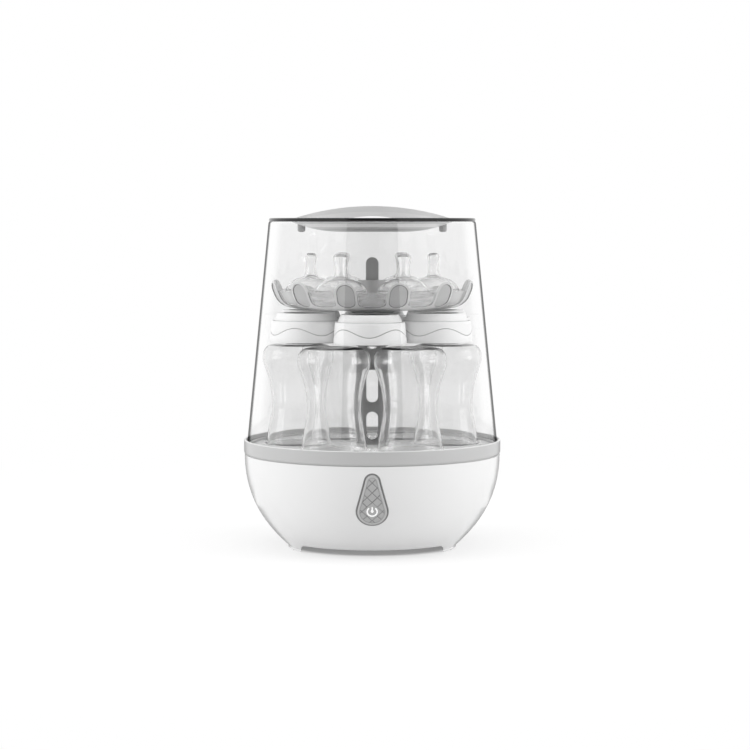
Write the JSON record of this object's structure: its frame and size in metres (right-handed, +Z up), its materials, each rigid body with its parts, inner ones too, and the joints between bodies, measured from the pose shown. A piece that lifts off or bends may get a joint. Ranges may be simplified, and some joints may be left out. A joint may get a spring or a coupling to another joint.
{
  "type": "electric bottle sterilizer",
  "caption": "Steam sterilizer: white bowl with a teardrop power button, a clear tall cover with an arched handle, and stacked racks with bottles, collars and teats.",
  "frame": {"origin": "centre of the base, on the surface it stands on", "axes": "+Z up, the power button on the -Y side, +X to the right seen from the button's side"},
  "size_m": [0.25, 0.25, 0.3317],
  "materials": {
    "bowl_white": "satin white moulded plastic",
    "rim_grey": "satin grey moulded plastic",
    "foot_rubber": "matt soft rubber",
    "under_white": "matt white moulded plastic",
    "screw_steel": "bright screw",
    "basin_grey": "smooth grey heat-proof plastic",
    "seal_silicone": "soft translucent silicone",
    "plate_steel": "brushed stainless steel",
    "element_metal": "cast aluminium tube",
    "sensor_black": "black moulded housing",
    "button_grey": "satin grey with an embossed lattice",
    "bezel_dark": "dark matt frame",
    "board_green": "green lacquered circuit board",
    "lamp_clear": "diffused lamp body",
    "gland_grey": "grey flexible strain relief",
    "terminal_white": "heat-proof terminal plastic",
    "rack_grey": "dark satin plastic",
    "post_grey": "dark satin plastic",
    "bottle_clear": "clear water-white plastic",
    "collar_white": "satin white plastic",
    "tray_grey": "smoky translucent plastic",
    "teat_silicone": "clear soft silicone",
    "cover_clear": "clear polished plastic",
    "dish_grey": "satin light grey plastic",
    "handle_grey": "satin light grey plastic"
  },
  "bodies": {
    "base": {"base_bowl": "bowl_white", "foot_pads": "foot_rubber", "bottom_cover": "under_white", "bottom_screws": "screw_steel", "rim_ring": "rim_grey", "water_basin": "basin_grey", "plate_seal": "seal_silicone", "heating_plate": "plate_steel", "clamp_ring": "screw_steel", "clamp_screws": "screw_steel", "heating_element": "element_metal", "thermostat": "sensor_black", "thermal_fuse": "terminal_white", "button_bezel": "bezel_dark", "push_switch": "sensor_black", "control_board": "board_green", "indicator_lamp": "lamp_clear", "board_screws": "screw_steel", "cord_gland": "gland_grey", "gland_nut": "gland_grey", "terminal_block": "terminal_white"},
    "button": {"power_button": "button_grey", "switch_stem": "sensor_black"},
    "bottle_tier": {"bottle_rack": "rack_grey", "lower_post": "post_grey", "post_screw": "screw_steel", "bottle_1": "bottle_clear", "bottle_2": "bottle_clear", "bottle_3": "bottle_clear", "bottle_4": "bottle_clear", "bottle_5": "bottle_clear", "bottle_6": "bottle_clear"},
    "collar_tier": {"upper_post": "post_grey", "collar_rack": "rack_grey", "collar_1": "collar_white", "collar_2": "collar_white", "collar_3": "collar_white", "collar_4": "collar_white", "collar_5": "collar_white", "collar_6": "collar_white"},
    "teat_tier": {"teat_tray": "tray_grey", "tray_hub": "tray_grey", "teats": "teat_silicone"},
    "lid": {"steam_cover": "cover_clear", "handle_dish": "dish_grey", "handle_bridge": "handle_grey", "handle_cap": "handle_grey", "handle_pins": "handle_grey"}
  },
  "joints": [
    {"name": "button_press", "type": "slide", "parent": "base", "child": "button", "axis": [0, 0.9708, 0.2398], "range_m": [0, 0.0012], "stiffness_N_per_m": 600, "springref_m": -0.0008},
    {"name": "bottle_tier_lift", "type": "slide", "parent": "base", "child": "bottle_tier", "axis": [0, 0, 1], "range_m": [0, 0.12]},
    {"name": "collar_tier_lift", "type": "slide", "parent": "bottle_tier", "child": "collar_tier", "axis": [0, 0, 1], "range_m": [0, 0.1]},
    {"name": "teat_tier_lift", "type": "slide", "parent": "collar_tier", "child": "teat_tier", "axis": [0, 0, 1], "range_m": [0, 0.09]},
    {"name": "lid_lift", "type": "slide", "parent": "teat_tier", "child": "lid", "axis": [0, 0, 1], "range_m": [0, 0.24]}
  ]
}
